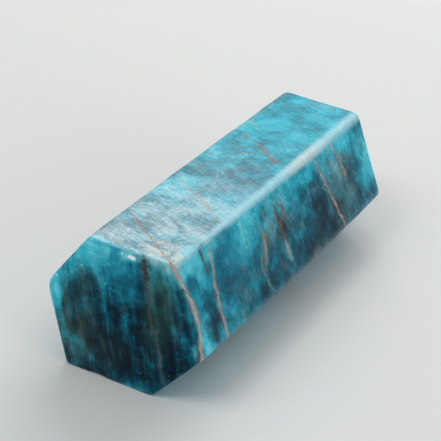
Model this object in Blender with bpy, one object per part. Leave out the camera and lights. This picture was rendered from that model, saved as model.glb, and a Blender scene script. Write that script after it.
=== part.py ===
"""Apatite wand: one polished blue stone, a six-sided bar with a flat base and a blunt six-sided point.

It lies on one of its long facets. +X runs along the wand from the base to the point, +Z is up, and the
origin is on the surface that the wand rests on, under the middle of its bounding box. Run it with
blender --background --python part.py, or from Blender's text editor.
"""

import math
import random
from typing import NamedTuple

import bmesh
import bpy
from mathutils import Matrix, Vector, noise

MM = 0.001

# Driving dimensions. WIDTH is the nominal distance across two opposite long facets.
WIDTH = 25 * MM
BODY_LENGTH = 77.4 * MM
POINT_LENGTH = 15.2 * MM
BLUNT = 0.9 * MM  # width of the worn flat at the very point
SHOULDER_ROUNDING = 0.7 * MM  # how far the worn edge at the foot of the point reaches each way
SHOULDER_LEAN = 0.04  # how far the foot of the point runs out of square, along over across

EDGE_CRISP_TO = 7 * MM  # the top front edge keeps its crisp start up to here
EDGE_WORN_FROM = 20 * MM  # and has its full rounding from here

HALF_WIDTH = WIDTH / 2
BASE_X = 0.0
APEX_X = BODY_LENGTH + POINT_LENGTH

# How finely the curved stretches are divided.
ARC_STEPS = 3
BODY_STATIONS = 10


class Facet(NamedTuple):
    """One long facet, and the facet of the point above it."""

    name: str
    angle: float  # direction it faces, in degrees about the axis, from +Y towards +Z
    reach: float  # distance from the axis at the base, as a share of HALF_WIDTH
    growth: float  # how much further out it is at the shoulder, as a share of that distance
    bow: float  # how far its middle bulges along the length
    shoulder: float  # where the point starts on this side, from the nominal BODY_LENGTH
    base_radius: float  # rounding of its edge with the base
    edge_start: float  # rounding, at the base, of the long edge that it shares with the next facet
    edge_radius: float  # rounding of that edge further along


FACETS = (
    Facet("back_upper", 31.8, 1.002, 0.012, 0.15 * MM, 0.1 * MM, 0.8 * MM, 1.1 * MM, 1.1 * MM),
    Facet("top", 88.6, 0.969, -0.004, 0.00 * MM, -0.4 * MM, 0.3 * MM, 0.4 * MM, 1.7 * MM),
    Facet("front_upper", 153.0, 0.991, 0.024, 0.10 * MM, -0.4 * MM, 0.7 * MM, 1.3 * MM, 1.3 * MM),
    Facet("front_lower", 218.4, 1.034, 0.058, 0.35 * MM, 0.0 * MM, 0.6 * MM, 1.2 * MM, 1.2 * MM),
    Facet("rest", 270.0, 0.949, 0.000, 0.00 * MM, 0.3 * MM, 0.5 * MM, 1.0 * MM, 1.0 * MM),
    Facet("back_lower", 339.0, 1.017, -0.012, 0.10 * MM, 0.3 * MM, 1.2 * MM, 2.8 * MM, 2.8 * MM),
)


class Chip(NamedTuple):
    """A shell-shaped chip out of an edge."""

    edge: str  # the facet whose long edge, or whose base edge, is chipped
    on_base: bool
    along: float  # place along that edge, as a share of its length
    size: float  # half the chip's length along the edge
    depth: float  # how deep it goes below the worn edge


# The chips that stand out: the broken ones along the top of the base, the dished end of the back
# ridge, the nicks along the front edges, and a few lower down that show as the wand is turned.
CHIPS = (
    Chip("top", True, 0.49, 1.3 * MM, 0.45 * MM),
    Chip("top", True, 0.24, 0.7 * MM, 0.22 * MM),
    Chip("top", True, 0.05, 0.8 * MM, 0.30 * MM),
    Chip("front_upper", True, 0.29, 0.7 * MM, 0.28 * MM),
    Chip("front_lower", True, 0.45, 1.4 * MM, 0.40 * MM),
    Chip("rest", True, 0.62, 1.8 * MM, 0.40 * MM),
    Chip("back_lower", True, 0.66, 1.1 * MM, 0.45 * MM),
    Chip("back_upper", True, 0.30, 0.9 * MM, 0.35 * MM),
    Chip("back_upper", False, 0.85, 3.8 * MM, 0.50 * MM),
    Chip("back_upper", False, 0.37, 1.9 * MM, 0.25 * MM),
    Chip("front_upper", False, 0.83, 2.2 * MM, 0.40 * MM),
    Chip("front_upper", False, 0.61, 1.5 * MM, 0.28 * MM),
    Chip("front_lower", False, 0.42, 2.4 * MM, 0.40 * MM),
    Chip("back_lower", False, 0.55, 3.0 * MM, 0.60 * MM),
    Chip("rest", False, 0.25, 1.9 * MM, 0.35 * MM),
)
CHIP_WIDTH = 0.62  # a chip's half width over its half length
CHIP_ROUGHNESS = 0.13  # how uneven the broken surface is, as a share of its size
CHIP_SEED = 7


def body_distance(facet, x):
    """Distance of a long facet from the axis, x along the wand from the base."""
    share = min(max(x / BODY_LENGTH, 0.0), 1.0)
    straight = facet.reach * HALF_WIDTH * (1 + facet.growth * share)
    return straight + facet.bow * 4 * share * (1 - share)


def point_distance(facet, x):
    """Distance from the axis of the facet of the point, which runs straight to the apex."""
    foot = BODY_LENGTH + facet.shoulder
    share = (APEX_X - x) / (APEX_X - foot)
    return BLUNT * (1 - share) + body_distance(facet, foot) * share


def profile(facet):
    """Points (x, distance from the axis) along the middle of a side, from the base to the apex."""
    points = []
    radius = facet.base_radius
    for step in range(ARC_STEPS + 1):
        turn = math.pi / 2 * step / ARC_STEPS
        x = BASE_X + radius * (1 - math.cos(turn))
        points.append((x, body_distance(facet, x) - radius * (1 - math.sin(turn))))
    foot = BODY_LENGTH + facet.shoulder
    first, last = BASE_X + radius, foot - SHOULDER_ROUNDING
    for step in range(1, BODY_STATIONS):
        x = first + (last - first) * step / BODY_STATIONS
        points.append((x, body_distance(facet, x)))
    start = Vector((last, body_distance(facet, last)))
    corner = Vector((foot, body_distance(facet, foot)))
    end_x = foot + SHOULDER_ROUNDING
    end = Vector((end_x, point_distance(facet, end_x)))
    for step in range(ARC_STEPS + 1):
        t = step / ARC_STEPS
        points.append(tuple(start * (1 - t) ** 2 + corner * 2 * t * (1 - t) + end * t**2))
    points.append((APEX_X - BLUNT / 2, point_distance(facet, APEX_X - BLUNT / 2)))
    points.append((APEX_X, BLUNT / 2))
    return points


def corner_of(angle_1, distance_1, angle_2, distance_2):
    """Where two side lines of a section cross, as (y, z) from the axis."""
    a, b = math.radians(angle_1), math.radians(angle_2)
    across = math.sin(b - a)
    y = (distance_1 * math.sin(b) - distance_2 * math.sin(a)) / across
    z = (distance_2 * math.cos(a) - distance_1 * math.cos(b)) / across
    return Vector((y, z))


def facing(angle):
    """Unit vector (y, z) of a direction about the axis."""
    return Vector((math.cos(math.radians(angle)), math.sin(math.radians(angle))))


def edge_rounding(facet, x):
    """Rounding of a facet's long edge, x along the wand from the base."""
    share = min(max((x - EDGE_CRISP_TO) / (EDGE_WORN_FROM - EDGE_CRISP_TO), 0.0), 1.0)
    return facet.edge_start + (facet.edge_radius - facet.edge_start) * share


def edge_arc(facet, point, following, next_point):
    """The rounded long edge between two facets, at one station of their profiles."""
    turn = (following.angle - facet.angle) % 360
    radius = min(edge_rounding(facet, point[0]), 0.45 * point[1], 0.45 * next_point[1])
    centre = corner_of(facet.angle, point[1] - radius, following.angle, next_point[1] - radius)
    arc = []
    for step in range(ARC_STEPS + 1):
        t = step / ARC_STEPS
        y, z = centre + facing(facet.angle + turn * t) * radius
        arc.append(Vector((point[0] * (1 - t) + next_point[0] * t, y, z)))
    return arc


def leaning(point):
    """The point moved along the wand, so that the shoulder leans while base and apex stay square."""
    rise = min(point.x / BODY_LENGTH, (APEX_X - point.x) / POINT_LENGTH)
    return Vector((point.x + SHOULDER_LEAN * point.y * rise, point.y, point.z))


def add_body(bm):
    """The whole wand as rings of points round the axis, joined by faces and capped at both ends."""
    profiles = [profile(facet) for facet in FACETS]
    rings = []
    for station in range(len(profiles[0])):
        ring = []
        for i, facet in enumerate(FACETS):
            j = (i + 1) % len(FACETS)
            ring += edge_arc(facet, profiles[i][station], FACETS[j], profiles[j][station])
        rings.append([bm.verts.new(leaning(point)) for point in ring])
    for ring, after in zip(rings, rings[1:]):
        for i, vert in enumerate(ring):
            j = (i + 1) % len(ring)
            bm.faces.new((vert, ring[j], after[j], after[i]))
    bm.faces.new(reversed(rings[0]))
    bm.faces.new(rings[-1])
    bmesh.ops.recalc_face_normals(bm, faces=bm.faces)


def chip_place(chip):
    """(point on the worn edge, direction out of the stone, direction along the edge)."""
    names = [facet.name for facet in FACETS]
    i = names.index(chip.edge)
    facet, following = FACETS[i], FACETS[(i + 1) % len(FACETS)]
    before = FACETS[i - 1]
    if chip.on_base:
        distance = body_distance(facet, 0)
        start = corner_of(before.angle, body_distance(before, 0), facet.angle, distance)
        end = corner_of(facet.angle, distance, following.angle, body_distance(following, 0))
        point = start.lerp(end, chip.along)
        normal = facing(facet.angle)
        out = Vector((-1, *normal)).normalized()
        edge_point = Vector((BASE_X, *point)) - out * facet.base_radius * (math.sqrt(2) - 1)
        return edge_point, out, Vector((0, *(end - start))).normalized()
    x = BODY_LENGTH * chip.along
    distances = body_distance(facet, x), body_distance(following, x)
    arc = edge_arc(facet, (x, distances[0]), following, (x, distances[1]))
    middle = (arc[0] + arc[-1]) / 2
    out = Vector((0, *facing(facet.angle + (following.angle - facet.angle) % 360 / 2)))
    crest = max(out.dot(point) for point in arc)
    return middle + out * (crest - out.dot(middle)), out, Vector((1, 0, 0))


def add_chip_cutter(bm, chip, offset):
    """A lumpy, flattened ball that bites into an edge to the chip's depth."""
    point, out, along = chip_place(chip)
    half_width = chip.size * CHIP_WIDTH
    half_height = max(chip.depth * 2, half_width * 0.6)
    centre = point + out * (half_height - chip.depth)
    axes = Matrix((along * chip.size, out.cross(along) * half_width, out * half_height)).transposed()
    ball = bmesh.ops.create_icosphere(bm, subdivisions=3, radius=1.0)
    for vert in ball["verts"]:
        lump = 1 + CHIP_ROUGHNESS * noise.noise(vert.co * 2.3 + offset)
        vert.co = centre + axes @ (vert.co * lump)


def stone_material():
    material = bpy.data.materials.new("blue_apatite")
    material.use_nodes = True
    shader = material.node_tree.nodes["Principled BSDF"]
    shader.inputs["Base Color"].default_value = (0.035, 0.23, 0.31, 1.0)
    shader.inputs["Roughness"].default_value = 0.22
    shader.inputs["Metallic"].default_value = 0.0
    return material


def mesh_object(name, bm):
    mesh = bpy.data.meshes.new(name)
    bm.to_mesh(mesh)
    bm.free()
    made = bpy.data.objects.new(name, mesh)
    bpy.context.scene.collection.objects.link(made)
    return made


def origin_shift(bm):
    """The move that brings the middle of the wand's underside to the origin."""
    low = Vector(min(vert.co[axis] for vert in bm.verts) for axis in range(3))
    high = Vector(max(vert.co[axis] for vert in bm.verts) for axis in range(3))
    return Vector((-(low.x + high.x) / 2, -(low.y + high.y) / 2, -low.z))


def make_wand():
    body = bmesh.new()
    add_body(body)
    shift = origin_shift(body)
    bmesh.ops.translate(body, verts=body.verts, vec=shift)
    wand = mesh_object("apatite_wand", body)
    wand.data.materials.append(stone_material())

    chips = bmesh.new()
    draw = random.Random(CHIP_SEED)
    for chip in CHIPS:
        add_chip_cutter(chips, chip, Vector(draw.uniform(-50, 50) for _ in range(3)))
    bmesh.ops.translate(chips, verts=chips.verts, vec=shift)
    cutter = mesh_object("chip_cutter", chips)
    cutter.hide_render = True
    cutter.display_type = "WIRE"

    cut = wand.modifiers.new("chips", "BOOLEAN")
    cut.operation = "DIFFERENCE"
    cut.solver = "EXACT"
    cut.object = cutter
    wand.data.shade_smooth()
    wand.data.set_sharp_from_angle(angle=math.radians(20))


for leftover in list(bpy.data.objects):
    bpy.data.objects.remove(leftover, do_unlink=True)
make_wand()
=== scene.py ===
"""Apatite wand: the polished stone as it looks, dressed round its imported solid.

The stone's own outline is measured from the solid. Geometry Nodes spin that outline into a fine skin
with worn edges, polish waves and small chips, and one material lays the fibres, clouds, fractures and
veins through the whole body of the stone, so that they meet at every edge.
"""

import math
from collections import namedtuple
from typing import NamedTuple

import bpy
import numpy as np
from mathutils import Matrix, Vector


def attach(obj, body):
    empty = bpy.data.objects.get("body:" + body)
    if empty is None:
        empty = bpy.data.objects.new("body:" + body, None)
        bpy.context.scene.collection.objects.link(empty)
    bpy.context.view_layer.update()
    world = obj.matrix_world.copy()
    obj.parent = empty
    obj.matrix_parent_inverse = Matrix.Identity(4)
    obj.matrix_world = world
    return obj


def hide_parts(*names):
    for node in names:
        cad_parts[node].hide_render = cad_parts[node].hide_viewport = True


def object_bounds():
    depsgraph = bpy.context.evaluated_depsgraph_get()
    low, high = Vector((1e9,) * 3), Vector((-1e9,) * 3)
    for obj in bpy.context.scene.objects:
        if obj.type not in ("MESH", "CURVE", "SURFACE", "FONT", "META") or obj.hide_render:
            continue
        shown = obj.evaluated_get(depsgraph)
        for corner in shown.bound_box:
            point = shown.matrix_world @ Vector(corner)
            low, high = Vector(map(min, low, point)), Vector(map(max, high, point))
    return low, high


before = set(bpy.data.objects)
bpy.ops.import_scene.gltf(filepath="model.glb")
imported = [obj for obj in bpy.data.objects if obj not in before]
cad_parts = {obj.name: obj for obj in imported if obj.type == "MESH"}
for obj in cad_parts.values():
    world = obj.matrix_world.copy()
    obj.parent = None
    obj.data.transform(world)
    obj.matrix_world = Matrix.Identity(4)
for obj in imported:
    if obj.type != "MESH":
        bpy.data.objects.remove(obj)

CAD_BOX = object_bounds()
MM = 0.001
STONE = "apatite_wand"
STONE_SLOT = "polished_apatite"


def in_mm(*sizes):
    return tuple(size * MM for size in sizes)


def in_scene(name, data):
    """A new object in the scene."""
    made = bpy.data.objects.new(name, data)
    bpy.context.scene.collection.objects.link(made)
    return made


# ---- Node trees written as expressions ----

# Sockets that share a name with others of their node, by their number.
MIX_SHARE, MIX_FIRST, MIX_SECOND, MIX_RESULT = 0, 6, 7, 2  # of a Mix node, for colours
RANDOM_NUMBER = 1  # of a Random Value node


def operator(operation, reflected=False):
    """What a wire does for one of Python's operators."""

    def act(wire, other):
        first, second = (other, wire) if reflected else (wire, other)
        return wire.graph.maths(operation, first, second)

    return act


class Wire:
    """What comes out of a node. An expression on a number adds Math nodes."""

    def __init__(self, graph, socket):
        self.graph = graph
        self.socket = socket

    __add__, __radd__ = operator("ADD"), operator("ADD", reflected=True)
    __sub__, __rsub__ = operator("SUBTRACT"), operator("SUBTRACT", reflected=True)
    __mul__, __rmul__ = operator("MULTIPLY"), operator("MULTIPLY", reflected=True)
    __truediv__, __rtruediv__ = operator("DIVIDE"), operator("DIVIDE", reflected=True)


def lay_stops(elements, stops):
    """Gives a colour ramp its stops, as (place, colour). The first is at 0 and the last at 1."""
    for place, colour in stops[1:-1]:
        elements.new(place).color = colour
    elements[0].color = stops[0][1]
    elements[-1].color = stops[-1][1]


class Graph:
    """Adds nodes to one tree, a shader's or a Geometry Nodes one."""

    def __init__(self, tree):
        self.tree = tree

    def add(self, kind, settings=None, inputs=None, out=0):
        """One node: its settings or a ramp's stops first, then the values or links of its sockets, or a
        list of links. Returns one output."""
        node = self.tree.nodes.new(kind)
        for name, value in (settings or {}).items():
            if name == "stops":
                lay_stops(node.color_ramp.elements, value)
            else:
                setattr(node, name, value)
        for key, value in (inputs or {}).items():
            wires = value if isinstance(value, list) else [value]
            if isinstance(wires[0], Wire):
                for wire in wires:
                    self.tree.links.new(wire.socket, node.inputs[key])
            else:
                node.inputs[key].default_value = value
        return node if out is None else Wire(self, node.outputs[out])

    def output(self, wire, name):
        """Another output of the node that a wire comes from."""
        return Wire(self, wire.socket.node.outputs[name])

    def maths(self, operation, first, second=0.0, third=0.0):
        sockets = {0: first, 1: second, 2: third}
        return self.add("ShaderNodeMath", {"operation": operation}, sockets)

    def least(self, first, second):
        return self.maths("MINIMUM", first, second)

    def most(self, first, second):
        return self.maths("MAXIMUM", first, second)

    def size(self, value):
        return self.maths("ABSOLUTE", value)

    def blunt_least(self, first, second, width):
        """The smaller of two values, with their meeting rounded over the width."""
        return self.maths("SMOOTH_MIN", first, second, width)

    def vector(self, operation, first, second):
        return self.add("ShaderNodeVectorMath", {"operation": operation}, {0: first, 1: second})

    def scaled(self, vector, by):
        return self.add("ShaderNodeVectorMath", {"operation": "SCALE"}, {0: vector, "Scale": by})

    def dot(self, first, second):
        settings = {"operation": "DOT_PRODUCT"}
        return self.add("ShaderNodeVectorMath", settings, {0: first, 1: second}, "Value")

    def length(self, vector):
        return self.add("ShaderNodeVectorMath", {"operation": "LENGTH"}, {0: vector}, "Value")

    def joined(self, x, y, z):
        return self.add("ShaderNodeCombineXYZ", None, {0: x, 1: y, 2: z})

    def parts(self, vector):
        split = self.add("ShaderNodeSeparateXYZ", None, {0: vector})
        return split, self.output(split, 1), self.output(split, 2)

    def ramp(self, value, low, high, to_low=0.0, to_high=1.0, smooth=True):
        """The value's way from low to high, kept inside the two results. Low may be over high."""
        settings = {"interpolation_type": "SMOOTHSTEP" if smooth else "LINEAR"}
        sockets = {0: value, 1: low, 2: high, 3: to_low, 4: to_high}
        return self.add("ShaderNodeMapRange", settings, sockets)

    def noise(self, vector, scale=1.0, detail=2.0, roughness=0.5):
        """Noise from 0 to 1, mostly between 0.3 and 0.7."""
        sockets = {"Vector": vector, "Scale": scale, "Detail": detail, "Roughness": roughness}
        return self.add("ShaderNodeTexNoise", None, sockets)

    def mix(self, share, first, second):
        """Colours mixed by a share."""
        sockets = {MIX_SHARE: share, MIX_FIRST: first, MIX_SECOND: second}
        return self.add("ShaderNodeMix", {"data_type": "RGBA"}, sockets, MIX_RESULT)


def emptied(owner):
    """The graph of a material's or a world's nodes, with nothing in it."""
    owner.use_nodes = True
    owner.node_tree.nodes.clear()
    return Graph(owner.node_tree)


# ---- The stone's outline, measured from the solid ----

BROAD = 8 * MM * MM  # a face at least this large belongs to a facet, not to a worn edge or a chip
SIDES = 6
FIRST_FACING = 30.0  # degrees from +Y towards +Z that the first facet of a regular stone faces
FACET_SPREAD = 15.0  # a facet faces within this many degrees of a regular stone's
LEAST_ACROSS = 0.1  # the part of a facet's normal that points away from the axis, at least
LEAST_ONWARD = 0.2  # and the part along the wand, at least, on the point
TIP_DEPTH = 0.1 * MM  # corners this close to the far end are the worn tip's


class Facet(NamedTuple):
    """One long facet and the facet of the point above it, as measured."""

    angle: float  # direction it faces about the axis, from +Y towards +Z, in radians
    bend: tuple  # its distance from the axis as a quadratic of the place along the wand
    point_angle: float
    point_reach: float  # distance of the point's facet from the axis, squarely outwards, at x = 0
    point_slope: float  # how fast that distance grows with x


class Outline(NamedTuple):
    base_x: float
    apex_x: float
    axis: tuple  # y and z of the axis
    facets: list


def measured_outline(solid):
    """The facets of the solid, from the planes of its broad faces."""
    mesh = solid.data
    corners = np.array([v.co for v in mesh.vertices])
    low, high = corners.min(0), corners.max(0)
    tip = corners[corners[:, 0] > high[0] - TIP_DEPTH]
    axis = (tip.min(0) + tip.max(0))[1:] / 2
    broad = [face for face in mesh.polygons if face.area > BROAD]
    facets = []
    for side in range(SIDES):
        middle = math.radians(FIRST_FACING) + math.tau / SIDES * side
        towards = Vector((0, math.cos(middle), math.sin(middle)))
        long_faces, point_faces = [], []
        for face in broad:
            across = Vector((0, face.normal.y, face.normal.z))
            if across.length < LEAST_ACROSS or math.degrees(across.angle(towards)) > FACET_SPREAD:
                continue
            (point_faces if face.normal.x > LEAST_ONWARD else long_faces).append(face)
        normal = sum((face.normal * face.area for face in long_faces), Vector()).normalized()
        ends = corners[[v for face in long_faces for v in face.vertices]]
        unit = np.array([normal.y, normal.z]) / math.hypot(normal.y, normal.z)
        bend = np.polyfit(ends[:, 0], (ends[:, 1:] - axis) @ unit, 2)
        slope = sum((face.normal * face.area for face in point_faces), Vector()).normalized()
        outward = math.hypot(slope.y, slope.z)
        ends = corners[[v for face in point_faces for v in face.vertices]]
        offset = float(np.mean(ends[:, 0] * slope.x + (ends[:, 1:] - axis) @ slope[1:]))
        bend = tuple(float(part) for part in bend)
        angles = math.atan2(normal.z, normal.y), math.atan2(slope.z, slope.y)
        facets.append(Facet(angles[0], bend, angles[1], offset / outward, -slope.x / outward))
    return Outline(float(low[0]), float(high[0]), tuple(float(v) for v in axis), facets)


# ---- The skin: a fine closed surface with worn edges, polish waves and small chips ----

# Wear of the long edge after each facet, by the base and further along, how pale that edge is, which is
# partly worn satin and partly a painted sheen of the light, and wear of each facet's edge with the
# base. The facets
# are in this order: back upper, top, front upper, front lower, the one it rests on, back lower.
RIDGE_START = in_mm(1.1, 0.4, 1.3, 1.2, 1.0, 2.8)
RIDGE_WEAR = in_mm(1.1, 1.7, 1.3, 1.2, 1.0, 2.8)
RIDGE_PALENESS = (0.25, 1.0, 0.10, 0.2, 0.2, 0.3)
BASE_WEAR = in_mm(0.8, 0.3, 0.7, 0.6, 0.5, 1.2)
CRISP_TO, WORN_FROM = 7 * MM, 20 * MM  # the wear grows to its full size between these, from the base
PALE_FROM = 13 * MM  # the edges are fully pale from here on
PALENESS_BY_BASE = 0.1  # and up to CRISP_TO they have only this share of it
SHOULDER_WEAR = 0.9 * MM
ROUND_TO_BLEND = 0.93  # width of a rounded meeting, over the radius that it gives
LEAST_COSINE = 0.05  # so that a facet along a ray isn't infinitely far

COLUMNS = 216
CAP_RINGS = 30
LAID_RADIUS = 10 * MM  # of the plain tube that is shaped into the stone
END_ROOM = 0.002 * MM  # a spot this close to an end of the tube is on its cap
# Rows along the wand: how many, and how far along they reach from the last place.
ROWS_BASE_EDGE, BASE_EDGE = 12, 1.6 * MM
ROWS_BODY, ROWS_SHOULDER, SHOULDER_BAND = 180, 16, 2.6 * MM
ROWS_POINT, ROWS_TIP, TIP_BAND = 34, 6, 1.2 * MM

WEAR_ROOM = 6 * MM  # an edge nearer the axis than this, at the point, is worn less
EDGE_WEAR_SPAN = 9 * MM  # how fast the wear changes along an edge
EDGE_WEAR_RAMP = (0.4, 0.7, 1.0, 1.5)  # noise from and to, and the share of the wear at each
ONE_EDGE = 0.1 * MM  # facets further out than the nearest by this don't meet in an edge
# Bands beside an edge, as ramps over distances in parts of its wear, and how the pale one widens.
CHIPPED_BAND, PALE_BAND = (1.15, 0.45), (1.2, 0.4)
PALE_WIDTHS = (0.55, 1.10)  # at the base and at the apex

INSET = 0.07 * MM  # how far the skin stays inside the solid, whose chips then bite into it
POLISH_WAVE = 0.12 * MM  # height of the unevenness that polishing leaves
WAVE_SPAN = 7 * MM
WAVE_GIRTH = 12 * MM  # radius of the round spot that the waves are read at, at the skin
LEAST_RADIUS = 0.2 * MM
WELD = 0.002 * MM

SHARP_OVER = 28.0  # degrees between two faces that meet in a crisp line

# Where chips are sown and paleness shows, as ramps. OUT is over the distance from the axis to the skin.
RIM_FROM_BASE, RIM_OUT, SIDE_OUT = (1.2 * MM, 0.3 * MM), (0.88, 0.95), (0.97, 1.0)
PALE_OUT = (0.95, 0.98)
RIDGE_CHIPS = 0.2  # how many of the chips are on the ridges, against the rim of the base
CHIP_SIZE, CHIP_SPACING = 0.75 * MM, 1.3 * MM
PIT_SIZE, PIT_SPACING = 0.3 * MM, 2.5 * MM
BITE_SHELL = (1.0, 0.68, 0.5)  # a bite's half length, width and depth, over its size
BITE_LUMPS, LUMP_HEIGHT, LEAST_LUMP = 1.3, 0.7, 0.65  # how fast, how much and from what its ball swells
BITE_ROUNDS = 3  # how often its ball is divided


class Bites(NamedTuple):
    """A sowing of shallow shell-shaped bites in the skin."""

    density: float  # to the square metre, before the spacing thins them
    least: float  # the smallest over the largest
    depth: float  # how deep one goes, over its size
    seed: int


CHIPS = Bites(1.4e5, 0.3, 0.2, 11)
PITS = Bites(1.2e4, 0.4, 0.25, 23)


def new_tree(name, sizes):
    """A Geometry Nodes tree with named inputs. Returns (graph, its inputs as wires, output node)."""
    tree = bpy.data.node_groups.new(name, "GeometryNodeTree")
    tree.interface.new_socket("Geometry", in_out="OUTPUT", socket_type="NodeSocketGeometry")
    tree.interface.new_socket("Geometry", in_out="INPUT", socket_type="NodeSocketGeometry")
    for label, (kind, _) in sizes.items():
        tree.interface.new_socket(label, in_out="INPUT", socket_type=kind)
    entry = tree.nodes.new("NodeGroupInput")
    leave = tree.nodes.new("NodeGroupOutput")
    graph = Graph(tree)
    wires = {label: Wire(graph, entry.outputs[label]) for label in sizes}
    return graph, wires, leave


def grown_mesh(name, graph, leave, geometry, sizes):
    """The tree's result as a plain mesh object, with its inputs set before it is first evaluated."""
    graph.tree.links.new(geometry.socket, leave.inputs["Geometry"])
    holder = in_scene(name + "_maker", bpy.data.meshes.new(name + "_maker"))
    modifier = holder.modifiers.new(name, "NODES")
    modifier.node_group = graph.tree
    for item in graph.tree.interface.items_tree:
        if item.in_out == "INPUT" and item.name in sizes:
            modifier[item.identifier] = sizes[item.name][1]
    evaluated = holder.evaluated_get(bpy.context.evaluated_depsgraph_get())
    mesh = bpy.data.meshes.new_from_object(evaluated)
    bpy.data.objects.remove(holder, do_unlink=True)
    return in_scene(name, mesh)


def rows_of(outline):
    """The rows along the wand as (how many, how far they reach), close together near each edge."""
    foot = max(foot_of(outline, side) for side in range(SIDES))
    return (
        (ROWS_BASE_EDGE, BASE_EDGE),
        (ROWS_BODY, foot - SHOULDER_BAND / 2 - outline.base_x - BASE_EDGE),
        (ROWS_SHOULDER, SHOULDER_BAND),
        (ROWS_POINT, outline.apex_x - foot - SHOULDER_BAND / 2 - TIP_BAND),
        (ROWS_TIP, TIP_BAND),
    )


def foot_of(outline, side):
    """Where the point starts on one side: where its facet crosses the long one."""
    facet = outline.facets[side]
    gap = np.poly1d(facet.bend) - np.poly1d([facet.point_slope, facet.point_reach])
    return min(root.real for root in gap.roots if 0 < root.real < outline.apex_x)


def place_along(g, share, outline):
    """Place along the wand for a row's share of all the rows."""
    stretches = rows_of(outline)
    rows = sum(count for count, _ in stretches)
    place, done = outline.base_x, 0
    for i, (count, span) in enumerate(stretches):
        part = g.ramp(share, done / rows, (done + count) / rows, smooth=False)
        place = place + (part * part if i == 0 else part) * span
        done += count
    return place


def side_distance(g, facet, angle, place, from_base, base_wear):
    """How far out a ray from the axis meets a long facet or the point's facet above it."""
    a, b, c = facet.bend
    body = (place * a + b) * place + c
    body = body / g.most(g.maths("COSINE", angle - facet.angle), LEAST_COSINE)
    point = place * facet.point_slope + facet.point_reach
    point = point / g.most(g.maths("COSINE", angle - facet.point_angle), LEAST_COSINE)
    depth = g.most(1 - from_base / base_wear, 0.0)
    round_off = (1 - g.maths("SQRT", g.most(1 - depth * depth, 0.0))) * base_wear
    return g.blunt_least(body, point, SHOULDER_WEAR * ROUND_TO_BLEND) - round_off


def laid_tube(g, outline):
    """A plain closed tube along the stone's axis, with its rows where the stone needs them."""
    rows = sum(count for count, _ in rows_of(outline))
    sizes = {"Vertices": COLUMNS, "Side Segments": rows, "Fill Segments": CAP_RINGS}
    sizes.update({"Radius": LAID_RADIUS, "Depth": 1.0})
    tube = g.add("GeometryNodeMeshCylinder", {"fill_type": "TRIANGLE_FAN"}, sizes)
    across, up, along = g.parts(g.add("GeometryNodeInputPosition"))
    laid = g.joined(
        place_along(g, along + 0.5, outline), across + outline.axis[0], up + outline.axis[1]
    )
    return g.add("GeometryNodeSetPosition", None, {"Geometry": tube, "Position": laid})


def about_axis(g, outline):
    """Where a spot is: along the wand, round its axis, and how far from the axis."""
    place, y, z = g.parts(g.add("GeometryNodeInputPosition"))
    y, z = y - outline.axis[0], z - outline.axis[1]
    return place, g.maths("ARCTAN2", z, y), g.length(g.joined(0.0, y, z))


def worn_radius(g, outline, angle, place, from_base):
    """How far out the worn surface is, how near each spot is to a long edge, and how pale it is, as
    worn satin with a painted sheen.
    """
    reaches = [
        side_distance(g, facet, angle, place, from_base, wear)
        for facet, wear in zip(outline.facets, BASE_WEAR)
    ]
    sharp = reaches[0]
    for reach in reaches[1:]:
        sharp = g.least(sharp, reach)
    uneven_wear = g.noise(g.joined(place, angle * MM, 0.0), 1 / EDGE_WEAR_SPAN)
    uneven_wear = g.ramp(uneven_wear, *EDGE_WEAR_RAMP)
    radius, on_ridge, pale = None, 0.0, 0.0
    for i, (start, wear) in enumerate(zip(RIDGE_START, RIDGE_WEAR)):
        if start != wear:
            wear = g.ramp(from_base, CRISP_TO, WORN_FROM, start, wear, smooth=False)
        first, second = reaches[i], reaches[(i + 1) % SIDES]
        room = g.ramp(first, 0.0, WEAR_ROOM, 0.0, ROUND_TO_BLEND, smooth=False)
        rounded = g.blunt_least(first, second, room * wear * uneven_wear)
        radius = rounded if radius is None else g.least(radius, rounded)
        apart = g.size(first - second)
        apart = apart + g.ramp(g.least(first, second) - sharp, 0.0, ONE_EDGE) * wear
        apart = apart / wear
        on_ridge = g.ramp(apart, *CHIPPED_BAND) + on_ridge
        width = g.ramp(place, outline.base_x, outline.apex_x, *PALE_WIDTHS)
        pale = g.ramp(apart / width, *PALE_BAND, 0.0, RIDGE_PALENESS[i]) + pale
    return radius, on_ridge, pale * g.ramp(from_base, CRISP_TO, PALE_FROM, PALENESS_BY_BASE, 1.0)


def drawn(g, seed):
    """A random number from 0 to 1 for each spot."""
    return g.add("FunctionNodeRandomValue", {"data_type": "FLOAT"}, {"Seed": seed}, RANDOM_NUMBER)


def scattered(g, surface, bites, where, spacing, size):
    """Bites as instances of one lumpy ball, sown where the share says, for a Boolean to take out."""
    spots = g.add(
        "GeometryNodeDistributePointsOnFaces",
        {"distribute_method": "POISSON"},
        {"Mesh": surface, "Distance Min": spacing, "Density Max": bites.density,
         "Density Factor": where, "Seed": bites.seed},
    )
    ball = g.add("GeometryNodeMeshIcoSphere", None, {"Radius": 1.0, "Subdivisions": BITE_ROUNDS})
    at = g.add("GeometryNodeInputPosition")
    lump = g.noise(at, BITE_LUMPS, detail=3.0, roughness=0.6) * LUMP_HEIGHT + LEAST_LUMP
    lifted = g.vector("MULTIPLY", g.scaled(at, lump), BITE_SHELL)
    lifted = g.vector("ADD", lifted, (0.0, 0.0, BITE_SHELL[2] - bites.depth))
    ball = g.add("GeometryNodeSetPosition", None, {"Geometry": ball, "Position": lifted})
    chance = drawn(g, bites.seed + 1)
    scale = (chance * chance * chance * (1 - bites.least) + bites.least) * size
    turn = drawn(g, bites.seed + 2)
    turned = g.add(
        "FunctionNodeRotateRotation",
        {"rotation_space": "LOCAL"},
        {"Rotation": g.output(spots, "Rotation"), "Rotate By": g.joined(0.0, 0.0, turn * math.tau)},
    )
    sockets = {"Points": spots, "Instance": ball, "Rotation": turned, "Scale": scale}
    return g.add("GeometryNodeInstanceOnPoints", None, sockets)


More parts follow.
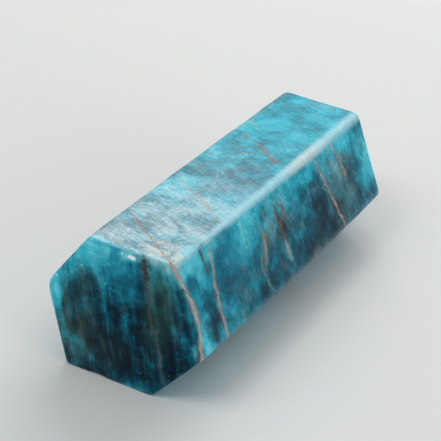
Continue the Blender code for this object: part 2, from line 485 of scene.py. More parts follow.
def marked(g, geometry, name, value):
    """The geometry with a named number at each of its points."""
    sockets = {"Geometry": geometry, "Name": name, "Value": value}
    return g.add("GeometryNodeStoreNamedAttribute", {"data_type": "FLOAT"}, sockets)


def carved(g, operation, meshes):
    """A Boolean of closed meshes, by the sockets that they go to."""
    return g.add("GeometryNodeMeshBoolean", {"operation": operation, "solver": "MANIFOLD"}, meshes)


def wand_skin(solid, outline, material):
    """The whole stone as one fine closed surface."""
    sizes = {
        "Solid": ("NodeSocketObject", solid),
        "Inset": ("NodeSocketFloat", INSET),
        "Polish wave": ("NodeSocketFloat", POLISH_WAVE),
        "Chip size": ("NodeSocketFloat", CHIP_SIZE),
        "Chip spacing": ("NodeSocketFloat", CHIP_SPACING),
        "Pit size": ("NodeSocketFloat", PIT_SIZE),
        "Pit spacing": ("NodeSocketFloat", PIT_SPACING),
    }
    g, given, leave = new_tree("wand_skin", sizes)
    tube = laid_tube(g, outline)
    place, angle, out = about_axis(g, outline)
    from_base = place - outline.base_x
    worn, on_ridge, pale = worn_radius(g, outline, angle, place, from_base)
    out_share = g.least(out / LAID_RADIUS, 1.0)

    cosine, sine = g.maths("COSINE", angle), g.maths("SINE", angle)
    round_spot = g.joined(place, cosine * out_share * WAVE_GIRTH, sine * out_share * WAVE_GIRTH)
    wave = (g.noise(round_spot, 1 / WAVE_SPAN, roughness=0.45) - 0.5) * given["Polish wave"]
    radius = g.most(worn - given["Inset"] + wave, LEAST_RADIUS)
    at_ends = g.maths("LESS_THAN", place, outline.base_x + END_ROOM)
    at_ends = at_ends - g.maths("GREATER_THAN", place, outline.apex_x - END_ROOM)
    skin_spot = g.joined(
        place + (given["Inset"] + wave) * at_ends,
        cosine * radius * out_share + outline.axis[0],
        sine * radius * out_share + outline.axis[1],
    )
    base_rim = g.ramp(from_base, *RIM_FROM_BASE) * g.ramp(out_share, *RIM_OUT)
    edge = g.least(on_ridge * g.ramp(out_share, *SIDE_OUT) * RIDGE_CHIPS + base_rim, 1.0)
    skin = marked(g, tube, "edge", edge)
    skin = g.add("GeometryNodeSetPosition", None, {"Geometry": skin, "Position": skin_spot})

    block = g.add("GeometryNodeObjectInfo", None, {"Object": given["Solid"]}, "Geometry")
    block = g.add("GeometryNodeMergeByDistance", None, {"Geometry": block, "Distance": WELD})
    bitten = carved(g, "INTERSECT", {"Mesh 2": [skin, block]})

    edge = g.add("GeometryNodeInputNamedAttribute", {"data_type": "FLOAT"}, {"Name": "edge"})
    on_faces = 1 - edge
    chips = scattered(g, skin, CHIPS, edge, given["Chip spacing"], given["Chip size"])
    pits = scattered(g, skin, PITS, on_faces, given["Pit spacing"], given["Pit size"])
    bitten = carved(g, "DIFFERENCE", {"Mesh 1": bitten, "Mesh 2": [chips, pits]})

    # Ridges are paler, worn satin with a painted sheen of the light, and so are the shallow chips in
    # them, so this is read off the bitten shape.
    pale = g.least(pale * g.ramp(out / worn, *PALE_OUT), 1.0)
    bitten = marked(g, bitten, "pale", pale)
    whole = g.add("GeometryNodeRealizeInstances", None, {"Geometry": bitten})
    finished = g.add("GeometryNodeSetMaterial", None, {"Geometry": whole, "Material": material})
    return grown_mesh("wand_stone", g, leave, finished, sizes)


# ---- The stone's look, in millimetres: x from the base, y to the back, z from the ground ----

# From the darkest blue to the palest, each with its place on a scale from dark, 0, to light, 1.
BLUES = (
    (0, (0.003, 0.013, 0.026, 1)),
    (0.17, (0.003, 0.039, 0.063, 1)),
    (0.34, (0.004, 0.096, 0.15, 1)),
    (0.48, (0.008, 0.195, 0.275, 1)),
    (0.62, (0.018, 0.35, 0.47, 1)),
    (0.75, (0.045, 0.5, 0.62, 1)),
    (0.87, (0.14, 0.66, 0.76, 1)),
    (1, (0.42, 0.83, 0.89, 1)),
)
SAPPHIRE, TURQUOISE = (0.006, 0.17, 0.285, 1), (0.055, 0.6, 0.77, 1)
# The second colour here is the pale cyan halo of the painted glints.
LAGOON, GLINT_HALO, AQUA = (0.115, 0.58, 0.7, 1), (0.16, 0.8, 0.95, 1), (0.16, 0.56, 0.6, 1)
# GLINT is the white of the painted glints, FROST also the painted sheen on the ridges, and MILK also
# the painted sheen on the top.
FROST, MILK, GLINT = (0.35, 0.64, 0.73, 1), (0.62, 0.76, 0.8, 1), (0.97, 1, 1, 1)
SEA_GREEN, SLATE_GREEN = (0.05, 0.16, 0.135, 1), (0.11, 0.21, 0.205, 1)
CREAM, CHALK, PEARL = (0.52, 0.48, 0.39, 1), (0.4, 0.41, 0.38, 1), (0.7, 0.68, 0.62, 1)
CLAY, SAND, OLIVE = (0.5, 0.27, 0.17, 1), (0.24, 0.2, 0.14, 1), (0.09, 0.085, 0.055, 1)
RUST, UMBER = (0.36, 0.125, 0.052, 1), (0.19, 0.078, 0.042, 1)
BROWN, DARK = (0.085, 0.042, 0.024, 1), (0.03, 0.02, 0.014, 1)

FIBRE = Vector((0.08, -0.27, -0.96)).normalized()  # the way the crystal's fibres run
CRACKS = Vector((0.74, -0.61, 0.25))  # square to the sheets that it cracked along
SHEETS = (CRACKS - FIBRE * CRACKS.dot(FIBRE)).normalized()
BETWEEN = SHEETS.cross(FIBRE)
POLISH_LINES = Vector((0.4, 0.917, 0)).normalized()  # the way the finest lines run on the top
POLISH_ACROSS = Vector((0.917, -0.4, 0)).normalized()


class Seam(NamedTuple):
    """One healed crack: a nearly flat sheet through the stone, filled with paler or rusty mineral."""

    place: float  # along the shared direction of the sheets, at the knee's height
    knee: float
    lean_above: float  # how fast the place changes with height, above the knee and below it
    lean_below: float
    width: float
    strength: float  # how much of the filling's colour shows
    core: tuple
    rim: tuple
    middle: tuple  # the part of the stone in which it shows, as a middle and half sizes
    reach: tuple


SEAMS = {  # each as a Seam
    "corner": (12.25, 15, -0.215, 0.22, 0.24, 0.8, CREAM, CLAY, (1, -8, 14), (5, 8.5, 13.5)),
    "first_on_top": (10.2, 24, 0, 0, 0.08, 0.76, RUST, CLAY, (8, 1, 24), (12, 12, 3)),
    "base": (6.05, 14, 0.1, 0.02, 0.07, 0.42, UMBER, OLIVE, (0, -5, 12), (7, 9, 12.5)),
    "base_head": (6.05, 14, 0.1, 0.02, 0.3, 0.8, DARK, BROWN, (0, -2, 21.6), (1, 1.4, 2.2)),
    "base_left": (-3.87, 9, 0.1, 0.1, 0.09, 0.3, BROWN, OLIVE, (0, 10, 9), (1, 3, 8.5)),
    "base_low": (-2.5, 5, -0.05, 0, 0.05, 0.36, UMBER, OLIVE, (0, 6.5, 5.5), (1, 3, 5.5)),
    "fork_stem": (17.75, 16, 0, 0.04, 0.2, 0.66, CHALK, CLAY, (9, -12.5, 13), (5, 6, 6.4)),
    "fork_left": (16.5, 18.9, 0.03, 0, 0.17, 0.84, BROWN, SEA_GREEN, (8.2, -8.4, 21.8), (3, 1.8, 2.2)),
    "fork_right": (17.95, 18.9, 0.17, 0, 0.18, 0.7, SAND, CREAM, (10, -9, 21.4), (4, 1.6, 3)),
    "third_on_top": (23.1, 24, 0, 0, 0.14, 0.52, CREAM, CLAY, (24, 1, 24), (10, 9, 3)),
    "short": (27.4, 20, 0, 0, 0.14, 0.62, DARK, AQUA, (22.8, -9, 20.6), (2.4, 3, 1.9)),
    "spur": (31.8, 18.2, 0, 0.24, 0.18, 0.46, SAND, CREAM, (28, -10.8, 16.7), (3, 3, 2.7)),
    "hook": (29.4, 14.1, 0.5, -0.42, 0.24, 0.22, CREAM, SEA_GREEN, (27, -12, 14), (5, 4, 5)),
    "middle_top": (36.9, 16.9, -0.17, -0.17, 0.24, 0.7, UMBER, DARK, (35, -10.5, 17.5), (4, 4, 4)),
    "middle_low": (37.3, 13.6, -0.17, -0.05, 0.2, 0.38, AQUA, CREAM, (35.6, -12.2, 13.6), (4, 4, 1.7)),
    "arc_on_top": (41.9, 24, 0, 0, 0.18, 0.5, RUST, RUST, (47.5, -1.5, 24), (5, 4.6, 2.4)),
    "far": (49.6, 23.7, -0.348, -0.348, 0.22, 0.66, CREAM, UMBER, (56, -11, 16.5), (8, 6.5, 10)),
    "blotch": (57.3, 19.7, -0.446, -0.446, 0.45, 0.5, CREAM, BROWN, (63, -9.5, 19.6), (3, 4, 4)),
    "back_near": (12.5, 12, 0.05, -0.1, 0.28, 0.7, CREAM, RUST, (20, 13, 12), (18, 9, 15)),
    "back_middle": (28.5, 12, -0.08, 0.06, 0.2, 0.7, RUST, BROWN, (42, 12, 10), (18, 9, 13)),
    "back_far": (44, 12, 0.1, 0.1, 0.3, 0.62, CREAM, BROWN, (62, 10, 12), (18, 9, 12)),
    "below_near": (20, 6, 0, 0.1, 0.24, 0.62, CREAM, RUST, (24, -2, 0), (14, 14, 7)),
    "below_far": (40.5, 6, 0, -0.1, 0.28, 0.62, RUST, BROWN, (52, -4, 0), (14, 14, 8)),
    "point": (60.5, 12, 0.12, -0.05, 0.26, 0.7, CREAM, RUST, (84, 0, 12), (12, 14, 14)),
}

# Soft patches: how much lighter each is on the scale of blues, and its middle and half sizes.
CLOUDS = (
    # In the base, from the crown down.
    (0.54, (0, 5.4, 22.4), (1, 8.4, 5.2)),
    (0.36, (0, 13.6, 13), (1, 1.9, 6.5)),
    (0.2, (0, 10.6, 17), (1, 2.8, 3.6)),
    (0.12, (0, 2.6, 16), (1, 3.4, 3)),
    (-0.04, (0, 0, 10.5), (1, 8, 9)),
    (0.5, (0, -5.4, 23.6), (1, 2.6, 2.2)),
    (-0.28, (0, -1, 6), (1, 18, 17)),
    (0.26, (0, -5.2, 20.6), (1, 3.2, 4.2)),
    (-0.1, (0, -8.2, 14), (1, 2.6, 5)),
    (-0.08, (0, 2, 4), (1, 10, 5)),
    (-0.18, (0, -8.8, 7), (1, 4.4, 6)),
    (-0.14, (0, -10.6, 11.5), (1, 2.6, 3.6)),
    # In the side, by the corner.
    (0.46, (4, -7.8, 21.8), (3.4, 2.4, 3.6)),
    (0.22, (3.2, -13.2, 11.5), (2.4, 2.4, 6)),
    (-0.44, (6.6, -11.6, 14.2), (3, 3, 6.2)),
    (-0.17, (17.5, -11.4, 14.4), (5.4, 4, 4.4)),
    # Along the side.
    (0.22, (32, -8.4, 21.2), (25, 3.2, 6)),
    (0.3, (10.4, -7.8, 22.8), (3.6, 2.6, 3)),
    (-0.34, (48.5, -14.6, 10.4), (29, 3.4, 5.4)),
    (0.18, (52.5, -8.4, 21.8), (4.5, 3, 3)),
    (0.2, (74.5, -11.6, 14.5), (6, 4, 6.5)),
    (-0.07, (44, -11.5, 14), (34, 6, 9)),
    (-0.28, (50, -11.5, 15.6), (6, 3.5, 4.2)),
    (0.36, (67, -7.2, 22), (6.5, 4, 3.6)),
    # On the top; the first lightens the whole top, painted light from above.
    (0.1, (38, 1, 25), (44, 11, 5)),
    (0.12, (73, 0, 24), (10, 7, 4)),
    (0.22, (40, 8.4, 24), (24, 2.8, 2)),
    (0.24, (26, 6.2, 24), (4.5, 3, 2)),
    (-0.24, (66, 4.6, 24), (5, 3, 2)),
    (0.16, (8.4, -3.6, 24), (3.4, 2.4, 1.5)),
    (-0.26, (39, -1.2, 24), (6, 3.2, 2)),
    (-0.2, (11, 1.5, 24), (5.5, 3, 1.3)),
    (0.16, (22, 0, 24), (8, 7, 2)),
    (0.16, (57, -4.4, 24), (5, 3, 2)),
    # In the back and underneath.
    (0.18, (30, 12, 16), (9, 4, 5)),
    (-0.24, (46, 13, 9), (9, 5, 6)),
    (0.2, (68, 10, 9), (8, 5, 6)),
    (-0.2, (20, -3, 0), (9, 8, 4)),
    (0.2, (60, 0, 0), (10, 8, 4)),
)

# Parts that take on another colour: it, the most that it shows, and the middle and half sizes.
STAINS = (
    (SAPPHIRE, 0.62, (16, -9.5, 18), (9, 8, 7)),
    (SLATE_GREEN, 0.45, (60.5, -11.5, 14.5), (7, 4, 6.5)),
    (LAGOON, 0.85, (5, -7.8, 22.2), (4.6, 2.4, 3.2)),
    (TURQUOISE, 0.66, (0, 7.4, 21.4), (1, 5.6, 4.8)),
    (SAPPHIRE, 0.6, (0, 1.6, 20), (1, 5.5, 5)),
    (TURQUOISE, 0.5, (0, 13.2, 12.5), (1, 2.2, 8)),
    (TURQUOISE, 0.6, (66, -7.4, 21.8), (8, 4, 4.4)),
    (TURQUOISE, 0.46, (68, 1, 24), (24, 10, 4)),
    (SEA_GREEN, 0.8, (0, -5.4, 16), (1, 3.4, 9.5)),
    (SEA_GREEN, 0.45, (0, 8.6, 10), (1, 3.6, 10)),
    (OLIVE, 0.45, (0, 6, 4.5), (1, 8, 5.5)),
    (SEA_GREEN, 0.5, (60, 12, 14), (12, 6, 8)),
    (TURQUOISE, 0.6, (26, 11, 18), (12, 6, 6)),
)

# Where iron stained the fibres: by how much, and the middle and half sizes of each place.
IRONED = (
    (0.5, (33, -9, 19.5), (8, 4, 4.2)),
    (1, (62.5, -9, 20), (4.4, 4, 4)),
    (0.36, (0, 8.5, 12), (1, 4, 9)),
    (0.35, (40, 4, 24), (12, 5, 2)),
    (0.4, (70, 9, 18), (8, 6, 6)),
)

# Painted glints: white spots of painted highlight with pale cyan halos, at small breaks along the rim
# of the base: how bright, and each one's place and half sizes.
PAINTED_GLINTS = (
    (1.7, (0, 0.2, 22.8), (1, 0.8, 0.4)),
    (0.5, (0, 0.8, 22.8), (1, 1.7, 0.7)),
    (0.8, (0, 1.9, 22.9), (1, 0.36, 0.26)),
    (0.5, (0, 4.3, 22.6), (1, 0.6, 0.7)),
    (0.45, (0, 6.9, 22.6), (1, 1.2, 0.24)),
    (0.45, (0, 7.5, 21.2), (1, 0.7, 0.3)),
    (0.7, (0, 12.7, 15.2), (1, 0.3, 0.24)),
    (0.5, (0, 12.4, 12.6), (1, 0.6, 0.14)),
    (1.4, (0.3, -9.9, 19.2), (1, 0.24, 0.8)),
)

# Where the base ends, the rest starts and the top is, as ramps from the base or up from the ground.
ON_BASE, OFF_BASE, ON_TOP = (0.9, 0.2), (0.1, 0.6), (23.05, 23.7)
RIM_HIGHLIGHT_HEIGHT, RIM_HIGHLIGHT_FROM_BASE, RIM_HIGHLIGHT_MOST = (23.5, 23.8), (0.4, 0.15), 0.65  # a painted highlight line along the base's top edge

FADE = (1.35, 0.3)  # a region fades from its rim to its heart, in parts of its half sizes

# Places of a layer's own: the middle, the half sizes and the most that it shows there.
CALM = (3.5, -9, 19), (6.5, 4, 8), 0.45  # where the grain is weaker
RIPPLED = (0, 4, 18.5), (1, 9, 8), 0.24  # where breaks ripple the base, painted lighter as the highlights on the ripples
SHEEN_ON_TOP = (3, -1, 24), (34, 14, 4), 1  # where the top is milky and painted with a sheen of the light, strongest by the base
CREAMY = (2.4, -4.2, 24), (4, 4, 2.2), 0.75
WARM_EDGE = (51, -7.2, 23.6), (9, 2.2, 2.2), 0.5
SPECKLED = (46, 1, 24), (11, 7, 3), 1

# The pale arch over the smoky eye in the side: the eye's middle, how fast the distance from it grows
# with x, y and z, the arch's half width in that distance, where it shows, and how pale it is.
EYE, EYE_SPREAD = (49.5, -11.5, 12.6), (0.125, 0.02, 0.16)
ARCH_WIDTH, ARCH_UP, ARCH_ALONG, ARCH_PALE = 0.07, (15, 17.5), (30, 40), 0.13

# How far a gentle warp bends the fibres, and how far a ragged one moves the grain and the clouds, which
# grows from the base on.
FIBRE_WARP, GRAIN_WARP, CLOUD_WARP, CLOUD_WARP_RAMP = 1.5, 3, (4, 9), (0.5, 3)

# Spacings of the patterns across the sheets, between them and along the fibres.
THREADS, STREAKS, GRAIN, MOTTLE = (0.45, 0.7, 6), (1.1, 1.6, 14), (3.4, 3, 3.2), (1.1, 0.9, 0.9)
NET, ARCS, SPLITS, STROKES = (1.9, 1.9, 2.7), (6, 5, 8), (2.1, 2.6, 11), (1.9, 1.6, 0.42)
IRON, FLECKS, FILLING, GAPS = (2.2, 1.2, 3.6), (0.7, 0.9, 1.3), (0.7, 0.7, 1.6), (3, 2.2, 3.4)
NET_WIDTH, ARC_WIDTH, SPLIT_WIDTH = 0.055, 0.022, 0.04  # over a cell's size
BROAD_CLOUDS = (0.08, 0.11, 0.07)  # rates of the broadest clouds along x, y and z
# Spacings across the finest polishing lines, along them, and up.
FINE_LINES, HAZE_LINES = (0.38, 3.6, 9), (2.4, 5, 5)

# Lightness on the scale of blues: its middle, and what each pattern adds.
# LEAST_ON_TOP is painted light: the top, which the light falls on from above, is kept from going dark.
MIDDLE_BLUE, LIGHT_SCALE, LEAST_ON_TOP = 0.56, 0.86, 0.45
NET_LIGHT, ARC_LIGHT, SPLIT_LIGHT, SPLIT_LESS_ON_BASE = 0.09, 0.11, 0.07, 0.04
STROKE_LIGHT, SUGAR_LIGHT, SUGAR_MORE_ON_TOP = 0.06, 0.05, 0.07

# Milkiness, which on the top is partly a painted sheen of the light: what each pattern adds on the top,
# and what it adds in the sheen.
MILKY_LINES, MILKY_HAZE, MILKY_SUGAR = (0.03, 0.28), (0.03, 0.53), (0.02, 0.25)
SHEEN_MILK, MILKIEST = 0.12, 0.88  # what the painted sheen adds by itself, and the most of all

STAIN_SHADE = 0.35  # a stain in the darkest blue, over its own colour

# A seam's rim and core as ramps over the distance from it, in parts of its width and in millimetres.
RIM_BAND, RIM_MOST, CORE_BAND = (4, 0.8), 0.34, (0.1, -0.07)

# The finish that is the same all over the stone.
POLISH = {"IOR": 1.5, "Specular IOR Level": 0.065, "Subsurface Weight": 0.2}
POLISH.update({"Subsurface Radius": (0.4, 0.9, 1), "Subsurface Scale": MM})
RELIEF = {"Strength": 0.25, "Distance": 0.12 * MM}


class Patches(NamedTuple):
    """Noise cut into soft patches: the least where it is under low, the most where it is over high."""

    low: float
    high: float
    rate: float = 1.0  # how fast the noise changes, to the millimetre or to a pattern's own spacing
    detail: float = 2.0
    roughness: float = 0.5
    least: float = 0.0
    most: float = 1.0


NET_SHOWS = Patches(0.48, 0.62, 0.22)
ARCS_SHOW = Patches(0.46, 0.56, 0.3)
SPLITS_SHOW = Patches(0.46, 0.64, 0.17)
STROKE_SHAPE = Patches(0.61, 0.72)
SUGAR = Patches(0.47, 0.64, 1.5, 5, 0.75)
HAZE_SHAPE = Patches(0.32, 0.72, 1, 5, 0.6)
GREENER = Patches(0.56, 0.72, 0.1, most=0.3)
IRON_SHOWS = Patches(0.54, 0.66, 0.13, most=0.3)
SPECKS = Patches(0.6, 0.7, 0.75, 3, 0.6)
SOWN = Patches(0.42, 0.58, 0.09, 1)
FLECK_SHAPE = Patches(0.58, 0.66)
UNBROKEN = Patches(0.27, 0.44, 1, 3, 0.7)
RUSTY = Patches(0.46, 0.58, 1, 3, most=0.85)
GRIT = Patches(0.38, 0.56, 1, 3, least=0.36)


# What every layer of the look can follow: the spot, the face that it is on, the spot as the warps move
# it for clouds, for grain and for fibres, and the fibres and grain there.
ROCK = "here from_base height on_base on_top cloud_spot grain_spot bent threads streaks mottle grain"
Rock = namedtuple("Rock", ROCK)


def patches(g, spot, kind):
    noise = g.noise(spot, kind.rate, kind.detail, kind.roughness)
    return g.ramp(noise, kind.low, kind.high, kind.least, kind.most)


def placed_share(g, here, middle, reach, most=1.0):
    """The most in a region's heart, and 0 outside it."""
    share = tuple(1 / part for part in reach)
    shift = tuple(-at / part for at, part in zip(middle, reach))
    settings = {"operation": "MULTIPLY_ADD"}
    offset = g.add("ShaderNodeVectorMath", settings, {0: here, 1: share, 2: shift})
    return g.ramp(g.length(offset), *FADE, 0.0, most)


def warp(g, spot, rate, detail, roughness):
    """A way to wander from a spot, up to about half a unit each way."""
    way = g.output(g.noise(spot, rate, detail, roughness), "Color")
    return g.vector("SUBTRACT", way, (0.5, 0.5, 0.5))


def fabric(g, spot, spacing):
    """The place as (across the sheets, between them, along the fibres), each over its own spacing."""
    ways = zip((SHEETS, BETWEEN, FIBRE), spacing)
    return g.joined(*(g.dot(spot, tuple(way / apart)) for way, apart in ways))


def along_polish(g, spot, height, spacing):
    """The place as (across the finest lines, along them, up), each over its own spacing."""
    across, along, up = spacing
    across = g.dot(spot, tuple(POLISH_ACROSS / across))
    return g.joined(across, g.dot(spot, tuple(POLISH_LINES / along)), height / up)


def uneven(g, spot, strength, detail=3.0, roughness=0.6):
    """Noise about 0 at a spot whose coordinates are already over their spacing."""
    return (g.noise(spot, 1.0, detail, roughness) - 0.5) * strength


def crack_net(g, spot, width):
    """1 along the walls between cells, at a spot whose coordinates are already over the cells' size."""
    settings = {"feature": "DISTANCE_TO_EDGE"}
    walls = g.add("ShaderNodeTexVoronoi", settings, {"Vector": spot, "Scale": 1.0})
    return g.ramp(walls, width, 0.0)


def rock_at(g):
    spot = g.add("ShaderNodeTexCoord", None, None, "Object")
    here = g.vector("ADD", g.scaled(spot, 1 / MM), (-CAD_BOX[0][0] / MM, 0.0, 0.0))
    from_base, _, height = g.parts(here)
    on_base = g.ramp(from_base, *ON_BASE)
    on_top = g.ramp(height, *ON_TOP) * g.ramp(from_base, *OFF_BASE)

    ragged = warp(g, here, 0.16, detail=3.0, roughness=0.55)
    moved = g.scaled(ragged, g.ramp(from_base, *CLOUD_WARP_RAMP, *CLOUD_WARP))
    cloud_spot = g.vector("ADD", here, moved)
    gentle = warp(g, here, 0.07, detail=1.0, roughness=0.4)
    bent = g.vector("ADD", here, g.scaled(gentle, FIBRE_WARP))

    threads = g.noise(fabric(g, bent, THREADS), detail=3.0, roughness=0.55)
    grain_spot = g.vector("ADD", here, g.scaled(ragged, GRAIN_WARP))
    grain = uneven(g, fabric(g, grain_spot, GRAIN), 1.10, detail=6.0, roughness=0.62)
    streaks = g.noise(fabric(g, bent, STREAKS), detail=3.0)
    grain = grain + (streaks - 0.5) * (on_base * 0.65 + 0.12)
    grain = grain + (threads - 0.5) * (on_base * 0.38 + 0.06)
    mottle = uneven(g, fabric(g, bent, MOTTLE), 0.34, detail=4.0, roughness=0.65)
    grain = grain + mottle * (1 - on_top * 0.7)
    faces = on_base, on_top
    spots = cloud_spot, grain_spot, bent
    return Rock(here, from_base, height, *faces, *spots, threads, streaks, mottle, grain)


def cloudy_light(g, rock):
    """How light the blue is: soft clouds, with the grain over them."""
    lightness = uneven(g, g.vector("MULTIPLY", rock.here, BROAD_CLOUDS), 1.0) + MIDDLE_BLUE
    for lighter, middle, reach in CLOUDS:
        lightness = placed_share(g, rock.cloud_spot, middle, reach, lighter) + lightness
    calm = placed_share(g, rock.here, *CALM) * (1 - rock.on_base)
    shows = rock.on_base * 0.22 - rock.on_top * 0.06 + 0.90
    return lightness + rock.grain * shows * (1 - calm)


def inner_cracks(g, rock):
    """Fine cracks: a net of pale lines, wide arcs in the sides, long splits, and short strokes."""
    net = crack_net(g, fabric(g, rock.grain_spot, NET), NET_WIDTH)
    net = net * patches(g, rock.here, NET_SHOWS)
    arcs = crack_net(g, fabric(g, rock.grain_spot, ARCS), ARC_WIDTH)
    arcs = arcs * patches(g, rock.here, ARCS_SHOW) * (1 - rock.on_top) * (1 - rock.on_base)
    splits = crack_net(g, fabric(g, rock.bent, SPLITS), SPLIT_WIDTH)
    splits = splits * patches(g, rock.here, SPLITS_SHOW)
    strokes = patches(g, fabric(g, rock.cloud_spot, STROKES), STROKE_SHAPE)
    return net, arcs, splits, strokes


def stained(g, rock, colour, lightness):
    """The colour with its patches of turquoise, sapphire, green and olive, darker in the dark blue."""
    depth = g.ramp(lightness, 0.10, 0.70)
    patchy = g.ramp(rock.threads, 0.3, 0.65, 0.8, 1.0)
    for pure, most, middle, reach in STAINS:
        shade = tuple(part * STAIN_SHADE for part in pure[:3]) + (1,)
        tint = g.mix(depth, shade, pure)
        patch = placed_share(g, rock.cloud_spot, middle, reach, most)
        colour = g.mix(patch * patchy, colour, tint)
    greener = patches(g, rock.here, GREENER) * g.ramp(lightness, 0.8, 0.5)
    return g.mix(greener, colour, SEA_GREEN)


def milky_and_sheened(g, rock, colour, lines, sheen, sugar):
    """The colour under the milky top, partly real milkiness and partly a painted sheen of the light,
    thickest by the base and along the finest lines.
    """

    def milk(shares):
        on_top, in_bloom = shares
        return rock.on_top * on_top + sheen * in_bloom

    haze = patches(g, along_polish(g, rock.cloud_spot, rock.height, HAZE_LINES), HAZE_SHAPE)
    milky = g.ramp(lines, 0.48, 0.78) * milk(MILKY_LINES)
    milky = milky + haze * milk(MILKY_HAZE) + sheen * SHEEN_MILK
    milky = milky + sugar * milk(MILKY_SUGAR)
    colour = g.mix(g.least(milky, MILKIEST), colour, MILK)
    creamy = placed_share(g, rock.cloud_spot, *CREAMY)
    return g.mix(creamy * g.ramp(haze, 0.1, 0.8), colour, PEARL)


def arched(g, rock, colour):
    """The colour with the pale arch, where one crack curves out of the stone."""
    from_eye = g.vector("MULTIPLY", g.vector("SUBTRACT", rock.here, EYE), EYE_SPREAD)
    from_eye = g.length(from_eye)
    arch = g.ramp(g.size(from_eye + (rock.streaks - 0.5) * 0.25 - 1.0), ARCH_WIDTH, 0.0)
    arch = arch * g.ramp(rock.height, *ARCH_UP) * g.ramp(rock.from_base, *ARCH_ALONG)
    arch = arch * (1 - rock.on_top)
    return g.mix(arch * ARCH_PALE, colour, AQUA)


def rusted(g, rock, colour, sheen):
    """The colour with olive stains in a cream border, and small specks of rust and olive."""
    iron = g.noise(fabric(g, rock.bent, IRON), detail=3.0, roughness=0.6)
    iron = iron + (rock.streaks - iron) * rock.on_base
    ironed = patches(g, g.vector("ADD", rock.here, (31.0, 7.0, 3.0)), IRON_SHOWS)
    for share, middle, reach in IRONED:
        ironed = placed_share(g, rock.here, middle, reach, share) + ironed
    border = g.ramp(iron, 0.46, 0.55) * ironed * (0.35 - rock.on_base * 0.30)
    colour = g.mix(border, colour, CREAM)
    colour = g.mix(g.ramp(iron, 0.55, 0.68) * ironed, colour, OLIVE)
    specks = patches(g, g.vector("ADD", rock.cloud_spot, (0.0, 40.0, 0.0)), SPECKS)
    sown = patches(g, g.vector("ADD", rock.here, (5.0, 0.0, 60.0)), SOWN)
    sown = g.most(sown, placed_share(g, rock.here, *SPECKLED))
    shows = specks * sown * (rock.on_top * 0.25 - rock.on_base * 0.2 + 0.4)
    colour = g.mix(shows, colour, RUST)
    flecks = patches(g, fabric(g, rock.grain_spot, FLECKS), FLECK_SHAPE)
    return g.mix(flecks * sown * (1 - rock.on_base) * (0.38 - sheen * 0.30), colour, OLIVE)


def worn_and_sheened(g, rock, colour, sugar):
    """The colour with the long edges worn to a pale satin that is also a painted sheen of the light,
    and a painted highlight line along the base's top edge.
    """
    worn = g.add("ShaderNodeAttribute", {"attribute_name": "pale"}, None, "Fac")
    worn = g.least(worn * (sugar * 0.3 + 0.8), 1.0)
    # A painted highlight line along the base's top edge.
    crisp = g.ramp(rock.height, *RIM_HIGHLIGHT_HEIGHT)
    crisp = crisp * g.ramp(rock.from_base, *RIM_HIGHLIGHT_FROM_BASE, 0.0, RIM_HIGHLIGHT_MOST)
    # Painted sheen on the worn ridges, and the painted highlight line along the base's top edge.
    colour = g.mix(g.most(worn, crisp), colour, FROST)
    warm = placed_share(g, rock.here, *WARM_EDGE)
    return g.mix(worn * warm, colour, PEARL)


def seam_line(g, seam, height):
    """Place of a seam along the shared direction, at each height."""
    above, below = (
        g.maths("MULTIPLY_ADD", height, lean, seam.place - seam.knee * lean)
        for lean in (seam.lean_above, seam.lean_below)
    )
    if seam.lean_above == seam.lean_below:
        return above
    return g.most(above, below) if seam.lean_above > seam.lean_below else g.least(above, below)


def healed(g, rock, colour):
    """The colour with the healed cracks, and how much of their filling is at a spot."""
    here = rock.here
    wobble = uneven(g, g.scaled(here, 0.14), 1.4, 2.0, 0.5) + uneven(g, g.scaled(here, 0.8), 0.6)
    wobble = wobble + uneven(g, g.scaled(here, 0.33), 1.0, 2.0, 0.5)
    sheet_place = g.dot(here, tuple(CRACKS)) + wobble
    fill = g.noise(fabric(g, here, FILLING), detail=3.0, roughness=0.65)
    thin = g.ramp(fill, 0.32, 0.62, 0.3, 1.5, smooth=False)
    unbroken = patches(g, fabric(g, here, GAPS), UNBROKEN)
    rusty = patches(g, g.scaled(here, 0.6), RUSTY)
    grit = patches(g, g.scaled(here, 1.7), GRIT)
    filled = 0.0
    for row in SEAMS.values():
        seam = Seam(*row)
        away = g.size(sheet_place - seam_line(g, seam, rock.height))
        shows = placed_share(g, here, seam.middle, seam.reach) * unbroken
        outer, inner = (seam.width * part for part in RIM_BAND)
        rim = g.ramp(away, outer, inner, 0.0, RIM_MOST) * shows
        core = g.ramp(away - thin * seam.width, *CORE_BAND, 0.0, seam.strength)
        core = core * g.least(shows * 2.0, 1.0) * grit
        colour = g.mix(rim, colour, seam.rim)
        colour = g.mix(core, colour, seam.core)
        colour = g.mix(core * rusty, colour, seam.rim)
        filled = g.most(core, filled)
    return colour, filled


def with_painted_glints(g, rock, colour):
    """The colour with the painted glints: painted highlights at small breaks by the rim, white in the
    middle and pale cyan round it.
    """
    glint_spot = g.scaled(g.output(g.noise(rock.here, 1.1, roughness=0.6), "Color"), 0.7)
    glint_spot = g.vector("SUBTRACT", glint_spot, (0.35, 0.35, 0.35))
    glint_spot = g.vector("ADD", rock.here, glint_spot)
    bright = 0.0
    for most, middle, reach in PAINTED_GLINTS:
        bright = g.most(placed_share(g, glint_spot, middle, reach, most), bright)
    # Painted highlight: a pale cyan halo, then a white middle.
    colour = g.mix(g.least(bright * 1.2, 0.8), colour, GLINT_HALO)
    return g.mix(g.ramp(bright, 0.55, 1.0), colour, GLINT)


